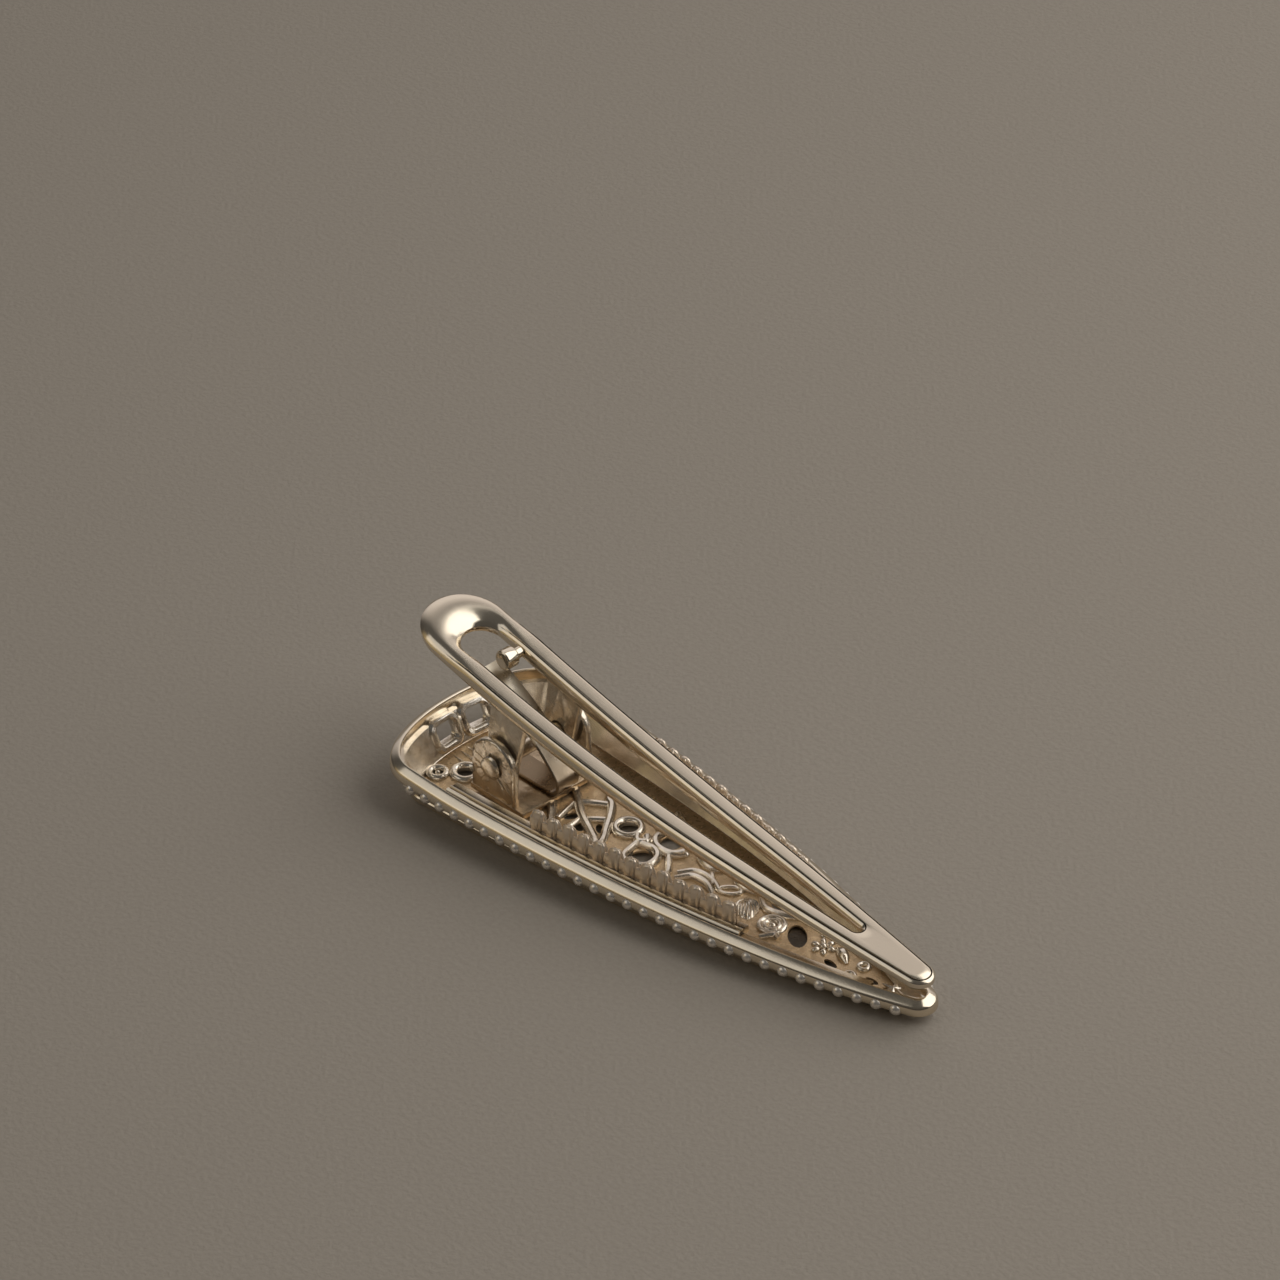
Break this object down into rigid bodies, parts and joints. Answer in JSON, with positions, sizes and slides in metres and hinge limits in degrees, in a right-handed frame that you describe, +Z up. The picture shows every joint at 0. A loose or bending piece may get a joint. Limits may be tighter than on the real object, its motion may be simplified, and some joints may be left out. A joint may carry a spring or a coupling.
{
  "type": "duckbill hair clip",
  "caption": "Long tapered hair clip with a pierced, bead-edged jaw, toothed combs inside it and a sprung loop arm that hinges open at the rear.",
  "frame": {"origin": "middle of the bottom of the clip's bounding box, lying on its decorated face", "axes": "+X from the thumb end to the tip, +Y to the left, +Z up from the decorated face to the loop arm"},
  "size_m": [0.0678, 0.025, 0.0168],
  "materials": {
    "polished": "polished pale champagne-gold plating",
    "pierced": "plated openwork, bright on its edges and darker in its hollows",
    "cast": "plated over a slightly rough cast surface",
    "spring": "plated spring strip"
  },
  "bodies": {
    "jaw": {"jaw_rim": "polished", "gallery_band": "pierced", "face_panel": "pierced", "bead_row_left": "polished", "bead_row_right": "polished", "comb_left": "cast", "comb_right": "cast", "hinge_bracket": "cast", "hinge_pin": "cast", "leaf_spring": "spring"},
    "arm": {"clasp_arm": "polished", "arm_lug_left": "cast", "arm_lug_right": "cast", "spring_bar": "polished"}
  },
  "joints": [
    {"name": "arm_hinge", "type": "hinge", "parent": "jaw", "child": "arm", "pos_m": [-0.02065, 0, 0.00527], "axis": [0, -1, 0], "range_deg": [0, 28], "stiffness_Nm_per_rad": 0.06, "springref_deg": -28.65, "deforming": ["leaf_spring"]}
  ]
}
